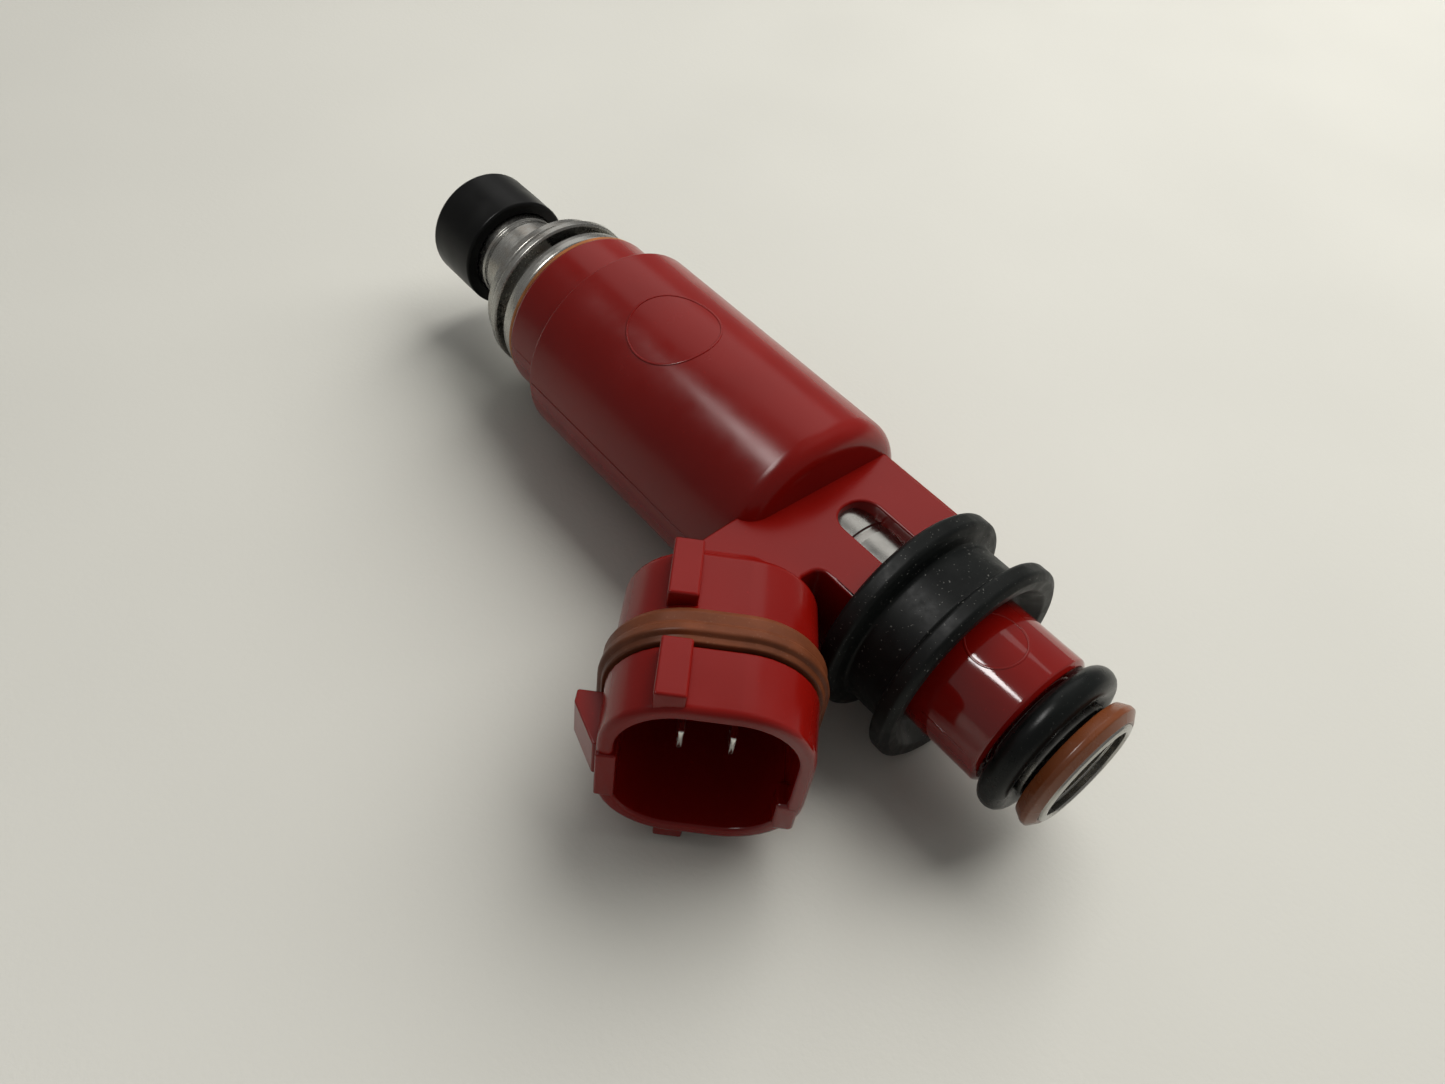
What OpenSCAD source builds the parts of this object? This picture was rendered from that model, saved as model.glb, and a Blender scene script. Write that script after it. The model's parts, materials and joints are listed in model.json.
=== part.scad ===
// Top-feed fuel injector, lying on its side.
// +X runs from the nozzle tip to the fuel inlet, the plug socket leans to -Y, +Z is up.
// The origin is on the axis, at the open end of the nozzle cap.

/* [Body] */
// Overall length from nozzle cap to inlet lip
overall_l = 85.8; // [85:0.1:87]
// Diameter of the moulded barrel
barrel_d = 20.8; // [20:0.1:22]
// Where the barrel begins
barrel_x = 25.3; // [24.5:0.1:26]
// Where the barrel ends
barrel_end = 55.2; // [54.8:0.1:55.6]
// Diameter of the narrow collar in front of the barrel
collar_d = 17.8; // [17.4:0.1:18.4]
// Thickness of the flat bridge behind the barrel
bridge_t = 10.4; // [10.2:0.1:11]
// Diameter of the moulded inlet neck
inlet_d = 12.7; // [12.3:0.1:13]

/* [Plug socket] */
// Angle between the socket and the injector axis
socket_angle = 44; // [42:1:46]
// Distance of the socket mouth from where the axes cross
socket_l = 34.5; // [34:0.1:35]
// Width of the socket
socket_w = 15.8; // [15.6:0.1:16.2]
// Height of the socket
socket_h = 17.2; // [16.8:0.1:17.6]
// Wall of the socket
socket_wall = 1.4; // [1.2:0.1:1.6]
// Distance between the two blade terminals
terminal_pitch = 3.9; // [3.4:0.1:4.4]

/* [Nozzle] */
// Diameter of the nozzle cap
cap_d = 12.2; // [11.8:0.1:12.6]
// Length of the nozzle cap
cap_l = 7; // [6.6:0.1:7.4]
// Diameter of the steel nozzle neck
neck_d = 9.6; // [9.4:0.1:9.8]

/* [Fuel rail end] */
// Diameter of the rubber cushion flanges
cushion_d = 19.8; // [19:0.1:20.4]
// Outer diameter of the rail O-ring
rail_ring_d = 14.3; // [14.1:0.1:14.6]
// Section diameter of the rail O-ring
rail_ring_t = 2.5; // [2.3:0.1:2.5]

/* [Valve] */
// Diameter of the valve ball
ball_d = 3; // [2.8:0.1:3.2]
// Working gap between armature and core
air_gap = 0.15; // [0.12:0.01:0.2]
// Radial running clearance of armature and needle
running_clearance = 0.05; // [0.03:0.01:0.08]

/* [Hidden] */
$fn = 96;
barrel_r = barrel_d / 2;
collar_r = collar_d / 2;
inlet_r = inlet_d / 2;
neck_r = neck_d / 2;
seat_gap = 0.05;            // round pieces that sit in each other on the same body
cut = 0.5;                  // how far a cutting tool runs past a face

// Stations along the axis
plate_x = 1.9;              // outlet face of the valve body
seat_x = 2.4;
guide_x = 5.4;
flange_x = 13.4;
stopper_x = 16.1;
yoke_x = 17.1;
seal_x = 19.2;
mould_x = 19.65;
armature_x = 20.5;
armature_end = 29.5;
core_x = armature_end + air_gap;
coil_x = 25;
bobbin_x = 26.4;
bobbin_end = 49;
washer_x = 50.4;
yoke_end = 52.4;
tube_x = 52.4;
spigot_end = 56;
cut_side = 6.7;             // straight side of the bridge, on the plug's side
bridge_end = 65.5;
inlet_end = 79.9;
ring_seat_x = 83.8;
lip_x = 85.6;
filter_x = 75;
filter_end = 83.4;

// Radii of the valve group
yoke_r = 7.9;
can_wall = 0.8;
core_r = 4.4;
core_bore_r = 2.2;
armature_r = 4.25;
sleeve_r = 4.75;
tube_seat_r = 4.6;          // steel under the rail O-ring
inlet_bore_r = 4;
filter_bore_r = 3.6;
guide_r = 1.85;
needle_r = 1.3;
collar_stop_r = 2.6;

// Socket stations, along its own axis from where the axes cross
socket_x0 = 44.06;
dome_c = 15.6;
bell_c = 20.3;
groove_c = 25.9;
groove_end = 29.2;
cavity_c = 21.6;
blade_c = 17;
blade_end = 31.5;
blade_t = 0.64;
blade_w = 2.4;
key_w = -3.1;               // sideways place of the two upper key ribs
lower_key_w = -1.9;         // and of the lower one

// Flat leads between coil and terminals
lead_w = 0.9;
lead_t = 0.5;
lead_y = -6.1;
lead_z = 1.2;               // height of the two leads above and below the socket's middle
lead_bend_x = 54.2;

// Turns a half profile, given as [radius, x] points, round the injector axis
module turned(profile) {
    rotate([0, 90, 0]) rotate_extrude() polygon(profile);
}

// A plain round bar or disc on the axis
module bar(x0, x1, r) {
    translate([x0, 0, 0]) rotate([0, 90, 0]) cylinder(h = x1 - x0, r = r);
}

// A round ring with a square section
module washer(x0, x1, r_in, r_out) {
    difference() {
        bar(x0, x1, r_out);
        bar(x0 - cut, x1 + cut, r_in);
    }
}

// A ring with a round section, centred at x
module torus(x, r_mid, r_section) {
    translate([x, 0, 0]) rotate([0, 90, 0]) rotate_extrude() translate([r_mid, 0])
        circle(r = r_section, $fn = 48);
}

// Repeats its children n times round the axis
module around(n, start = 0) {
    for (i = [0:n - 1]) rotate([start + i * 360 / n, 0, 0]) children();
}

// Puts its children into the socket's own frame: x out of the mouth, y across, z up
module at_socket() {
    translate([socket_x0, 0, 0]) rotate([0, 0, -socket_angle]) children();
}

// Rectangle with round corners, built from straight pieces and circles
module round_rect(w, h, r) {
    square([w - 2 * r, h], center = true);
    square([w, h - 2 * r], center = true);
    for (i = [-1, 1]) for (j = [-1, 1]) translate([i * (w / 2 - r), j * (h / 2 - r)]) circle(r = r);
}

// Straight length of the socket section between two stations
module socket_bar(c0, c1, inset, corner) {
    translate([c0, 0, 0]) rotate([90, 0, 90]) linear_extrude(c1 - c0)
        round_rect(socket_w - 2 * inset, socket_h - 2 * inset, corner);
}

// A flat strip along a list of [x, y] points, with round corners
module strip(points, width, thickness) {
    linear_extrude(thickness, center = true) {
        for (i = [0:len(points) - 2]) {
            d = points[i + 1] - points[i];
            translate(points[i]) rotate(atan2(d.y, d.x)) translate([0, -width / 2])
                square([norm(d), width]);
        }
        for (i = [1:len(points) - 2]) translate(points[i]) circle(d = width, $fn = 32);
    }
}

// Point in the part's frame of a place in the socket's frame
function socket_point(c, w) = [
    socket_x0 + c * cos(socket_angle) + w * sin(socket_angle),
    -c * sin(socket_angle) + w * cos(socket_angle)];

// ---- Nozzle end ----

module nozzle_cap() {
    color([0.05, 0.05, 0.06]) turned([
        [3.3, 0.3], [3.6, 0], [cap_d / 2, 0], [cap_d / 2, cap_l - 0.3],
        [cap_d / 2 - 0.3, cap_l], [neck_r + seat_gap, cap_l], [neck_r + seat_gap, 4],
        [neck_r - 0.25, 3.8], [neck_r - 0.25, 3.3], [neck_r + seat_gap, 3.1],
        [neck_r + seat_gap, plate_x], [3.3, plate_x]]);
}

module orifice_plate() {
    color("lightgray") difference() {
        bar(plate_x, seat_x, 3.35);
        around(4, 45) translate([plate_x - cut, 0, 0.8]) rotate([0, 90, 0])
            cylinder(h = 2, r = 0.2, $fn = 24);
    }
}

module valve_seat() {
    color("silver") turned([
        [0.6, seat_x], [2.95, seat_x], [2.95, guide_x], [2.2, guide_x], [2.2, 4.6], [0.6, 3]]);
}

module valve_body() {
    color("gray") difference() {
        turned([
            [0, plate_x], [neck_r, plate_x], [neck_r, 3], [neck_r - 0.3, 3.2], [neck_r - 0.3, 3.9],
            [neck_r, 4.1], [neck_r, 7.9], [neck_r - 0.35, 8.1], [neck_r - 0.35, 8.9],
            [neck_r - 0.1, 9.1], [neck_r - 0.1, 9.8], [neck_r - 0.45, 10], [neck_r - 0.45, 10.5],
            [neck_r + 0.25, 11.1], [neck_r + 0.25, 12.6], [neck_r + 0.9, flange_x],
            [7.4, flange_x], [7.77, flange_x + 0.35], [8.2, 14.9], [8.43, 15.3],
            [8.43, stopper_x - 0.2], [8.25, stopper_x], [0, stopper_x]]);
        bar(plate_x - cut, seat_x, 3.4);
        bar(seat_x - cut, guide_x, 3);
        bar(guide_x - cut, stopper_x + cut, guide_r + running_clearance);
        bar(14.6, stopper_x + cut, 3);
    }
}

module lift_stopper() {
    color("dimgray") difference() {
        bar(stopper_x, yoke_x, 7.2);
        bar(stopper_x - cut, yoke_x + cut, 1.7);
        translate([stopper_x - cut, -1.7, 0]) cube([2, 3.4, 9]);
    }
}

// ---- Moving valve group ----

module valve_ball() {
    ball_x = seat_x + (ball_d / 2 + 0.03) * sqrt(2);
    color("silver") intersection() {
        translate([ball_x, 0, 0]) sphere(r = ball_d / 2);
        bar(ball_x - ball_d, 5.7, ball_d);
    }
}

module needle() {
    color("lightgray") {
        bar(5.7, 8.1, 0.95);
        intersection() {
            bar(8, 13.5, guide_r);
            translate([8, -1.6, -1.6]) cube([5.5, 3.2, 3.2]);
        }
        bar(13.4, 15.3, 1.4);
        bar(15.25, 15.95, collar_stop_r);
        bar(15.9, 24.2, needle_r);
    }
}

module armature() {
    color("slategray") difference() {
        bar(armature_x, armature_end, armature_r);
        bar(armature_x - cut, 24.3, needle_r + 0.02);
        bar(24.2, armature_end + cut, core_bore_r);
        for (z = [-1, 1]) translate([26, 0, z * 3.2]) cylinder(h = 3, r = 0.6, center = true, $fn = 32);
    }
}

// Ring of points round the wire of the spring at turn angle a
function coil_ring(a, pitch, r_mid, r_wire, sides) = [
    for (i = [0:sides - 1])
        let (t = 360 * i / sides, rr = r_mid + r_wire * cos(t))
        [pitch * a / 360 + r_wire * sin(t), rr * cos(a), rr * sin(a)]];

module return_spring() {
    turns = 9;
    r_wire = 0.28;
    x0 = 24.3 + r_wire;
    pitch = (40.9 - r_wire - x0) / turns;
    sides = 8;
    steps = 20 * turns;
    rings = [for (k = [0:steps]) coil_ring(360 * turns * k / steps, pitch, 1.7, r_wire, sides)];
    points = [for (ring = rings) for (p = ring) p];
    walls = [for (k = [0:steps - 1]) for (i = [0:sides - 1])
        let (j = (i + 1) % sides)
        [k * sides + i, k * sides + j, (k + 1) * sides + j, (k + 1) * sides + i]];
    first = [[for (i = [sides - 1:-1:0]) i]];
    last = [[for (i = [0:sides - 1]) steps * sides + i]];
    color("gainsboro") translate([x0, 0, 0]) polyhedron(points, concat(walls, first, last));
}

// ---- Magnet and fuel tube ----

module adjusting_tube() {
    color("lightsteelblue") washer(41, 49, 1.2, core_bore_r - 0.02);
}

module fixed_core() {
    color("gray") difference() {
        union() {
            bar(core_x, tube_x, core_r);
            bar(tube_x - cut, spigot_end, 3.4);
        }
        bar(core_x - cut, spigot_end + cut, core_bore_r);
    }
}

module non_magnetic_sleeve() {
    color("khaki") washer(23.6, 33, core_r + 0.02, sleeve_r);
}

module coil_bobbin() {
    color("darkkhaki") difference() {
        union() {
            bar(bobbin_x, bobbin_end, 5.4);
            bar(bobbin_x, bobbin_x + 1, 7);
            bar(bobbin_end - 1, bobbin_end, 7);
        }
        bar(bobbin_x - cut, bobbin_end + cut, sleeve_r + seat_gap);
    }
}

module coil_winding() {
    color("chocolate") washer(bobbin_x + 1.05, bobbin_end - 1.05, 5.4 + seat_gap, 6.8);
}

module coil_seal_front() {
    color("black") torus(bobbin_x - 0.7, 5.45, 0.62);
}

module coil_seal_rear() {
    color("black") torus(bobbin_end + 0.7, 5.1, 0.62);
}

module yoke_can() {
    color("darkgray") difference() {
        turned([
            [0, yoke_x], [7.6, yoke_x], [8.1, yoke_x + 0.15], [8.4, yoke_x + 0.6],
            [8.4, seal_x - 0.5], [8.15, seal_x], [yoke_r, seal_x], [yoke_r, yoke_end],
            [0, yoke_end]]);
        bar(yoke_x - cut, 20, 3.2);
        bar(20, coil_x + cut, armature_r + running_clearance);
        bar(23.55, coil_x + cut, sleeve_r + seat_gap);
        bar(coil_x, yoke_end + cut, yoke_r - can_wall);
    }
}

module yoke_washer() {
    color("darkgray") difference() {
        washer(washer_x, yoke_end, core_r + seat_gap, yoke_r - can_wall - seat_gap);
        translate([washer_x - cut, -9, -2.6]) cube([3, 4, 5.2]);
    }
}

module collar_seal() {
    color("sienna") washer(seal_x, mould_x, yoke_r + seat_gap, 8.75);
}

module inlet_tube() {
    color("silver") difference() {
        turned([
            [0, tube_x], [core_r, tube_x], [core_r, inlet_end + 0.1], [tube_seat_r, inlet_end + 0.4],
            [tube_seat_r, ring_seat_x - 0.3], [4.9, ring_seat_x], [4.9, lip_x - 0.25],
            [5.05, lip_x - 0.05], [4.9, lip_x + 0.12], [4.6, overall_l], [0, overall_l]]);
        bar(tube_x - cut, spigot_end + 0.1, 3.45);
        bar(spigot_end, 79.1, 3.5);
        bar(79, overall_l + cut, filter_bore_r);
        bar(filter_end, overall_l + cut, inlet_bore_r);
        bar(overall_l - 0.7, overall_l + cut, 4.3);
    }
}

// ---- Moulded housing ----

// Barrel, collar and inlet neck as one turned shape with rounded shoulders
module barrel_shape() {
    shoulder = 1.7;
    front = 0.5;
    rotate([0, 90, 0]) rotate_extrude() {
        translate([0, mould_x]) square([collar_r - 0.2, barrel_x - mould_x + cut]);
        translate([0, mould_x + 0.2]) square([collar_r, barrel_x - mould_x]);
        translate([0, barrel_x]) square([barrel_r - front, barrel_end - barrel_x]);
        translate([0, barrel_x + front]) square([barrel_r, barrel_end - barrel_x - front - shoulder]);
        translate([barrel_r - front, barrel_x + front]) circle(r = front, $fn = 48);
        translate([barrel_r - shoulder, barrel_end - shoulder]) circle(r = shoulder);
        translate([0, bridge_end - 1]) square([inlet_r - 0.5, inlet_end - bridge_end + 1]);
        translate([0, bridge_end - 1]) square([inlet_r, inlet_end - bridge_end + 0.5]);
        translate([inlet_r - 0.5, inlet_end - 0.5]) circle(r = 0.5, $fn = 48);
    }
}

// Bridge between barrel and rail cushion: two flats, one round side and one cut straight
module bridge_shape() {
    reach = 20;
    intersection() {
        bar(barrel_end - 4, bridge_end, collar_r);
        translate([barrel_end - 5, -cut_side, -bridge_t / 2]) cube([reach, reach, bridge_t]);
    }
}

// Flat neck that carries the plug socket
module neck_shape() {
    linear_extrude(bridge_t, center = true) difference() {
        polygon([
            [50, -5], [53.7, -8.6], [54, -12.4], [54.6, -15.6], [56, -17.8], [63.4, -10.2],
            [61.6, -8.4], [63.1, -cut_side], [65, -cut_side], [65, -5]]);
        translate([63.1, -8.2]) circle(r = 1.5, $fn = 48);
    }
}

// Key rib on the top or the underside of the socket
module key_rib(c0, c1, w, up) {
    rib_h = 1.1;
    rib_w = 2.3;
    translate([c0, w - rib_w / 2, up > 0 ? socket_h / 2 - 1 : -socket_h / 2 - rib_h])
        cube([c1 - c0, rib_w, rib_h + 1]);
}

// Ramp that the plug's latch snaps over
module latch_ramp() {
    translate([0, 0, -2]) linear_extrude(4)
        polygon([[29.6, -7.5], [29.6, -9.9], [30.6, -9.9], [33.6, -8.1], [33.6, -7.5]]);
}

// Low stop on the socket's lower right corner, level with the mouth
module corner_stop() {
    stop_l = 2.3;
    translate([socket_l - stop_l, 5.8, -6.4]) cube([stop_l, 2, 4]);
}

// Pad that stands a little way out of the mouth's left wall
module mouth_pad() {
    pad_l = 1.5;
    pad_out = 0.2;
    translate([socket_l + pad_out - pad_l, 0.1 - socket_w / 2, -3.6]) cube([pad_l, 1.6, 5.4]);
}

// The socket's outside: dome, bell, seal groove, straight shell, keys and latch
module socket_shape() {
    hull() {
        translate([dome_c, 0, 0]) rotate([90, 0, 90]) linear_extrude(0.1)
            circle(r = 4.6, $fn = 32);
        translate([bell_c - 0.6, 0, 0]) rotate([90, 0, 90]) linear_extrude(0.2)
            for (i = [-1, 1]) for (j = [-1, 1]) translate([i * 2, j * 2.5]) circle(r = 5, $fn = 32);
    }
    socket_bar(bell_c - 0.5, bell_c + cut, 0.6, 5.5);
    socket_bar(bell_c, groove_c, 0.2, 5.9);
    socket_bar(groove_c - cut, groove_end + cut, 0.9, 5.2);
    socket_bar(groove_end, socket_l - 0.4, 0, 6.1);
    socket_bar(socket_l - cut, socket_l, 0.35, 5.75);
    key_rib(bell_c - 0.2, groove_c - 0.4, key_w, 1);
    key_rib(groove_end + 0.1, socket_l - 0.2, key_w, 1);
    key_rib(groove_end + 0.1, socket_l - 0.2, lower_key_w, -1);
    latch_ramp();
    corner_stop();
    mouth_pad();
}

// Room for one terminal inside the moulding
module blade(side, grow) {
    translate([blade_c - grow, side * terminal_pitch / 2 - blade_t / 2 - grow, -blade_w / 2 - grow])
        cube([blade_end - blade_c + 2 * grow, blade_t + 2 * grow, blade_w + 2 * grow]);
}

// One lead from the bobbin's rear flange to a little way short of its terminal
module lead(side, grow) {
    tail = socket_point(blade_c - 0.6, side * terminal_pitch / 2);
    translate([0, 0, side * lead_z / 2])
        strip([[bobbin_end + 0.1 - grow, lead_y], [lead_bend_x, lead_y], tail],
              lead_w + 2 * grow, lead_t + 2 * grow);
}

module overmould_housing() {
    slot_w = 4.2;
    slot_x = 57.8;
    slot_end = 64.6;
    slot_floor = 3.6;
    slot_deep = 2.4;
    color("firebrick") difference() {
        union() {
            barrel_shape();
            bridge_shape();
            neck_shape();
            at_socket() socket_shape();
        }
        bar(mould_x - cut, yoke_end, yoke_r + seat_gap);
        bar(yoke_end - cut, inlet_end + cut, core_r + seat_gap);
        at_socket() socket_bar(cavity_c, socket_l + cut, socket_wall, 4.6);
        at_socket() for (side = [-1, 1]) blade(side, seat_gap);
        for (side = [-1, 1]) lead(side, seat_gap);
        for (up = [-1, 1]) translate([slot_x + slot_w / 2, 0, up * (slot_floor + slot_deep / 2)]) {
            translate([0, -slot_w / 2, -slot_deep / 2])
                cube([slot_end - slot_x - slot_w / 2, slot_w, slot_deep]);
            cylinder(h = slot_deep, d = slot_w, center = true);
        }
    }
}

// ---- Electrical pieces ----

// Blade with a chamfered tip
module terminal(side) {
    tip = 0.8;
    y = side * terminal_pitch / 2;
    color("gainsboro") at_socket() translate([0, y + blade_t / 2, 0]) rotate([90, 0, 0])
        linear_extrude(blade_t) polygon([
            [blade_c, -blade_w / 2], [blade_end - tip, -blade_w / 2], [blade_end, -blade_w / 4],
            [blade_end, blade_w / 4], [blade_end - tip, blade_w / 2], [blade_c, blade_w / 2]]);
}

module terminal_left() { terminal(-1); }

module terminal_right() { terminal(1); }

module lead_left() { color("peru") lead(-1, 0); }

module lead_right() { color("peru") lead(1, 0); }

module connector_seal() {
    color("saddlebrown") at_socket() difference() {
        union() {
            socket_bar(groove_c + 0.1, groove_end - 0.1, -0.35, 6.4);
            socket_bar(groove_c + 0.9, groove_end - 0.9, -0.75, 6.8);
        }
        socket_bar(groove_c - cut, groove_end + cut, 0.85, 5.25);
    }
}

// ---- Fuel rail end ----

module rail_cushion() {
    r = cushion_d / 2;
    rim = 1.1;
    waist_r = 8.2;
    color([0.08, 0.08, 0.08]) difference() {
        rotate([0, 90, 0]) rotate_extrude() {
            translate([0, bridge_end + 0.1]) square([waist_r, 8]);
            translate([0, bridge_end + 0.1]) square([r - rim, 2 * rim]);
            translate([r - rim, bridge_end + 0.1 + rim]) circle(r = rim);
            translate([0, 74 - 2 * rim]) square([r - rim, 2 * rim]);
            translate([r - rim, 74 - rim]) circle(r = rim);
        }
        bar(bridge_end - cut, 75, inlet_r + seat_gap);
        turned([[0, 72.4], [6.6, 72.4], [8.6, 74.1], [8.6, 75], [0, 75]]);
    }
}

module rail_o_ring() {
    color("black") torus(82.1, (rail_ring_d - rail_ring_t) / 2, rail_ring_t / 2);
}

module retainer_ring() {
    color("peru") turned([
        [4.95, ring_seat_x], [5.7, ring_seat_x], [6.1, 84.7], [6.1, 85], [5.3, lip_x], [4.95, lip_x - 0.3]]);
}

module filter_frame() {
    ring_x = filter_end - 1;
    color("goldenrod") {
        washer(ring_x, filter_end, 3, filter_bore_r - 0.03);
        bar(filter_x, filter_x + 0.8, 3.2);
        around(4) translate([filter_x + 0.4, -0.35, 2.85]) cube([ring_x - filter_x, 0.7, 0.35]);
    }
}

module filter_mesh() {
    color("silver") washer(filter_x + 0.85, filter_end - 1.05, 2.6, 2.8);
}

nozzle_cap();
orifice_plate();
valve_seat();
valve_body();
lift_stopper();
valve_ball();
needle();
armature();
return_spring();
adjusting_tube();
fixed_core();
non_magnetic_sleeve();
coil_bobbin();
coil_winding();
coil_seal_front();
coil_seal_rear();
yoke_can();
yoke_washer();
collar_seal();
overmould_housing();
terminal_left();
terminal_right();
lead_left();
lead_right();
connector_seal();
rail_cushion();
rail_o_ring();
retainer_ring();
inlet_tube();
filter_frame();
filter_mesh();
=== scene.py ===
"""Looks of a top-feed fuel injector, built round its CAD frame.

Lengths inside the shape functions are millimetres. A mesh is written in metres.
"""
import json
import math

import bmesh
import bpy
import numpy as np
from bpy.props import FloatProperty, FloatVectorProperty, PointerProperty
from mathutils import Matrix, Vector


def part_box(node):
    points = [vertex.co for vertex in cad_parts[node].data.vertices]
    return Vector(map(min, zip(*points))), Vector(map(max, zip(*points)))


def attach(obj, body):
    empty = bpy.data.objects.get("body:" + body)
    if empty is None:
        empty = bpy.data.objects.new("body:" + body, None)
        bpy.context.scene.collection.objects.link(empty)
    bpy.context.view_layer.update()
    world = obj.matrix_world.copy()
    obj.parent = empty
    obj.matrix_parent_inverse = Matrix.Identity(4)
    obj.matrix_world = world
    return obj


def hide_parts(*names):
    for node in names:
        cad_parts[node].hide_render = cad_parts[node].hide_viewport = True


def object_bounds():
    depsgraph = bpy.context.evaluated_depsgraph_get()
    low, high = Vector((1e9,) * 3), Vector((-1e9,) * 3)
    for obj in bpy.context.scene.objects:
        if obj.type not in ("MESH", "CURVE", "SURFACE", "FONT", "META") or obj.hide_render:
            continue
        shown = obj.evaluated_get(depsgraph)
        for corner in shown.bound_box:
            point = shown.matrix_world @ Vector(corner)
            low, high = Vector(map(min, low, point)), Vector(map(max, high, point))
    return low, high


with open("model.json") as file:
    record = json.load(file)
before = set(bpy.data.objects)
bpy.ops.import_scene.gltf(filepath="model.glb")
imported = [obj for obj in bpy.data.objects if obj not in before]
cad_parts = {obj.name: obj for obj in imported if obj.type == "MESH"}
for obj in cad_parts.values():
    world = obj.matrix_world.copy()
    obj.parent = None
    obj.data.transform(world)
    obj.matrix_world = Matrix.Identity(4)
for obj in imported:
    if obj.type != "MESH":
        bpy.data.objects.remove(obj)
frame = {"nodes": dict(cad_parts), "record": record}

bl_info = {
    "name": "Fuel injector",
    "version": (1, 0, 0),
    "blender": (4, 5, 0),
    "location": "3D View > Sidebar > Injector",
    "description": "Builds the moulded, turned and rubber pieces of a fuel injector",
    "category": "Add Mesh",
}

MM = 0.001
HOUSING = "housing"
PLUNGER = "plunger"
CAD_BOX = [[float(v) for v in corner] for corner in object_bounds()]


def span(node):
    """First and last x of a CAD node and its half width across the axis, in mm."""
    low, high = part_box(node)
    return low.x / MM, high.x / MM, (high.y - low.y) / 2 / MM


# ---------------------------------------------------------------- values a user would change

class InjectorBody(bpy.types.PropertyGroup):
    """Sizes of the moulded housing."""

    barrel_radius: FloatProperty(name="Barrel radius", description="Radius of the moulded barrel",
                                 default=0.0104, subtype="DISTANCE", unit="LENGTH")
    collar_radius: FloatProperty(name="Collar radius",
                                 description="Radius of the collar and of the bridge's round side",
                                 default=0.0089, subtype="DISTANCE", unit="LENGTH")
    inlet_radius: FloatProperty(name="Inlet neck radius", description="Radius of the inlet neck",
                                default=0.00635, subtype="DISTANCE", unit="LENGTH")
    barrel_start: FloatProperty(name="Barrel start", description="Where the barrel begins",
                                default=0.0253, subtype="DISTANCE", unit="LENGTH")
    barrel_end: FloatProperty(name="Barrel end", description="Where the barrel ends",
                              default=0.0552, subtype="DISTANCE", unit="LENGTH")
    bridge_half: FloatProperty(name="Bridge half thickness",
                               description="Height of the bridge's flats above the axis",
                               default=0.0052, subtype="DISTANCE", unit="LENGTH")
    slot_width: FloatProperty(name="Window width", description="Width of the window in the bridge",
                              default=0.0042, subtype="DISTANCE", unit="LENGTH")


class InjectorSocket(bpy.types.PropertyGroup):
    """Sizes of the plug socket."""

    cross: FloatProperty(name="Crossing", description="Where the socket axis meets the main axis",
                         default=0.04406, subtype="DISTANCE", unit="LENGTH")
    angle: FloatProperty(name="Angle", description="Angle between socket and injector axis",
                         default=math.radians(44), subtype="ANGLE", unit="ROTATION")
    length: FloatProperty(name="Length", description="From the crossing to the mouth",
                          default=0.0345, subtype="DISTANCE", unit="LENGTH")
    half_width: FloatProperty(name="Half width", description="Half of the socket's width",
                              default=0.0079, subtype="DISTANCE", unit="LENGTH")
    half_height: FloatProperty(name="Half height", description="Half of the socket's height",
                               default=0.0086, subtype="DISTANCE", unit="LENGTH")
    corner: FloatProperty(name="Corner", description="Radius of the socket's corners",
                          default=0.0061, subtype="DISTANCE", unit="LENGTH")
    wall: FloatProperty(name="Wall", description="Thickness of the socket wall",
                        default=0.0014, subtype="DISTANCE", unit="LENGTH")


class InjectorFinish(bpy.types.PropertyGroup):
    """Colours of the finishes."""

    housing: FloatVectorProperty(name="Housing", description="Colour of the moulded housing",
                                 default=(0.175, 0.0034, 0.0018), size=3, subtype="COLOR")
    cap: FloatVectorProperty(name="Nozzle cap", description="Colour of the nozzle cap",
                             default=(0.0035, 0.0035, 0.0035), size=3, subtype="COLOR")
    rubber: FloatVectorProperty(name="Rubber", description="Colour of cushion and O-ring",
                                default=(0.0040, 0.0048, 0.0046), size=3, subtype="COLOR")
    silicone: FloatVectorProperty(name="Plug seal", description="Colour of the plug seal",
                                  default=(0.110, 0.031, 0.012), size=3, subtype="COLOR")
    retainer: FloatVectorProperty(name="Retainer", description="Colour of the retainer ring",
                                  default=(0.150, 0.040, 0.011), size=3, subtype="COLOR")
    steel: FloatVectorProperty(name="Steel", description="Colour of the turned steel",
                               default=(0.34, 0.335, 0.315), size=3, subtype="COLOR")


class InjectorStage(bpy.types.PropertyGroup):
    """Camera, lights and floor."""

    camera_place: FloatVectorProperty(name="Camera", description="Place of the camera",
                                      default=(0.095856, -0.054714, 0.070030), size=3,
                                      subtype="TRANSLATION", unit="LENGTH")
    camera_target: FloatVectorProperty(name="Target", description="Point the camera looks at",
                                       default=(0.05195, -0.008038, 0.0), size=3,
                                       subtype="TRANSLATION", unit="LENGTH")
    camera_roll: FloatProperty(name="Roll", description="Turn of the camera about its own axis",
                               default=math.radians(9.594), subtype="ANGLE", unit="ROTATION")
    camera_lens: FloatProperty(name="Lens", description="Focal length in millimetres",
                               default=27.426, min=10, max=200)
    floor_colour: FloatVectorProperty(name="Floor", description="Colour of the floor",
                                      default=(0.56, 0.555, 0.510), size=3, subtype="COLOR")


# ---------------------------------------------------------------- outlines and surfaces

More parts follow.
